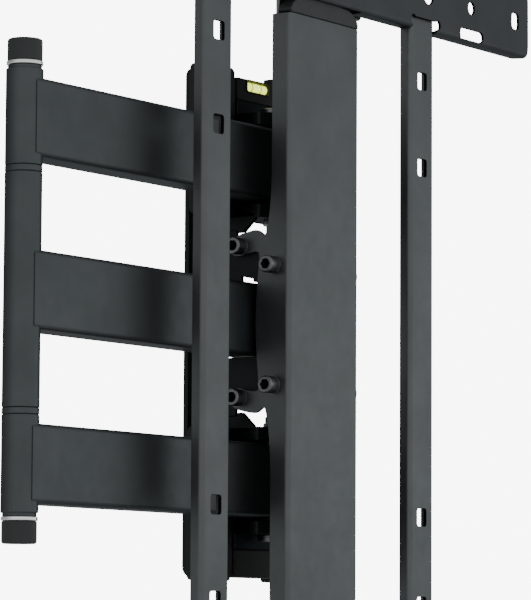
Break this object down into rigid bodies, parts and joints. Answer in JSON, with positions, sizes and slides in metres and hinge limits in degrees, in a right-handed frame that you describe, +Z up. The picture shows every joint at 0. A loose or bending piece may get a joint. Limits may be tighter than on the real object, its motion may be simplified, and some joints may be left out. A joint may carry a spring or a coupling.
{
  "type": "full motion tv wall mount",
  "caption": "Full-motion wall mount: folding box-section arms, a swivel head and a tilting slotted frame that carries a flat screen.",
  "frame": {"origin": "on the back face of the wall plate's upper cross-member, midway across, 100 mm above the plate's middle", "axes": "+X right along the wall, +Y into the wall, +Z up"},
  "size_m": [0.4445, 0.0625, 0.4414],
  "materials": {
    "powder_coat": "dark grey satin powder coat",
    "black_steel": "blackened steel",
    "bright_steel": "zinc-plated steel",
    "chrome": "polished chrome",
    "moulding": "dark grey moulded plastic",
    "bearing_plastic": "dark grey bearing plastic",
    "vial_liquid": "clear yellow-green vial"
  },
  "bodies": {
    "wall_unit": {"wall_plate": "powder_coat", "upper_right_cover": "moulding", "upper_left_cover": "moulding", "lower_right_cover": "moulding", "lower_left_cover": "moulding", "top_pivot_bracket": "powder_coat", "bottom_pivot_bracket": "powder_coat", "top_pivot_pin": "bright_steel", "bottom_pivot_pin": "bright_steel", "level_housing": "moulding", "level_vial": "vial_liquid", "lower_centre_cover": "moulding"},
    "rear_link": {"top_arm": "powder_coat", "bottom_arm": "powder_coat", "top_wall_barrel": "powder_coat", "bottom_wall_barrel": "powder_coat", "top_pivot_washer": "bearing_plastic", "bottom_pivot_washer": "bearing_plastic", "elbow_tube_top": "powder_coat", "elbow_tube_bottom": "powder_coat", "elbow_bush_upper": "bearing_plastic", "elbow_bush_lower": "bearing_plastic", "elbow_shaft": "bright_steel", "elbow_ring_top": "chrome", "elbow_ring_bottom": "chrome", "elbow_cap_top": "moulding", "elbow_cap_bottom": "moulding"},
    "front_link": {"middle_arm": "powder_coat", "elbow_tube_middle": "powder_coat", "swivel_barrel": "powder_coat"},
    "swivel_pin_body": {"swivel_pin": "bright_steel", "swivel_pin_nut": "bright_steel"},
    "swivel_head": {"swivel_bracket": "powder_coat", "tilt_plate_left": "powder_coat", "tilt_plate_right": "powder_coat", "swivel_bush_upper": "bearing_plastic", "swivel_bush_lower": "bearing_plastic"},
    "screen_frame": {"column": "powder_coat", "column_cap_top": "moulding", "column_cap_bottom": "moulding", "right_upright": "powder_coat", "left_upright": "powder_coat", "top_crossbar": "powder_coat", "bottom_crossbar": "powder_coat", "top_joint_bar": "black_steel", "bottom_joint_bar": "black_steel", "tilt_screw_upper_left": "black_steel", "tie_screw_upper_left": "black_steel", "tilt_nut_upper_left": "bright_steel", "tilt_screw_upper_right": "black_steel", "tie_screw_upper_right": "black_steel", "tilt_nut_upper_right": "bright_steel", "tie_rod_upper": "bright_steel", "tilt_screw_lower_left": "black_steel", "tie_screw_lower_left": "black_steel", "tilt_nut_lower_left": "bright_steel", "tilt_screw_lower_right": "black_steel", "tie_screw_lower_right": "black_steel", "tilt_nut_lower_right": "bright_steel", "tie_rod_lower": "bright_steel"}
  },
  "joints": [
    {"name": "wall_pivot", "type": "hinge", "parent": "wall_unit", "child": "rear_link", "pos_m": [0, -0.0257, -0.1], "axis": [0, 0, 1], "range_deg": [0, 80]},
    {"name": "elbow_pivot", "type": "hinge", "parent": "rear_link", "child": "front_link", "pos_m": [-0.22, -0.0257, -0.1], "axis": [0, 0, 1], "range_deg": [-160, 0]},
    {"name": "head_pivot", "type": "hinge", "parent": "front_link", "child": "swivel_pin_body", "pos_m": [0, -0.0257, -0.1], "axis": [0, 0, 1], "range_deg": [0, 80]},
    {"name": "head_swivel", "type": "hinge", "parent": "swivel_pin_body", "child": "swivel_head", "pos_m": [0, -0.0257, -0.1], "axis": [0, 0, 1], "range_deg": [-1.5, 12]},
    {"name": "head_tilt", "type": "hinge", "parent": "swivel_head", "child": "screen_frame", "pos_m": [0, -0.0257, -0.1015], "axis": [1, 0, 0], "range_deg": [-5, 5]}
  ],
  "couplings": [
    {"joint": "elbow_pivot", "follows": "wall_pivot", "ratio": -2},
    {"joint": "head_pivot", "follows": "wall_pivot", "ratio": 1}
  ]
}
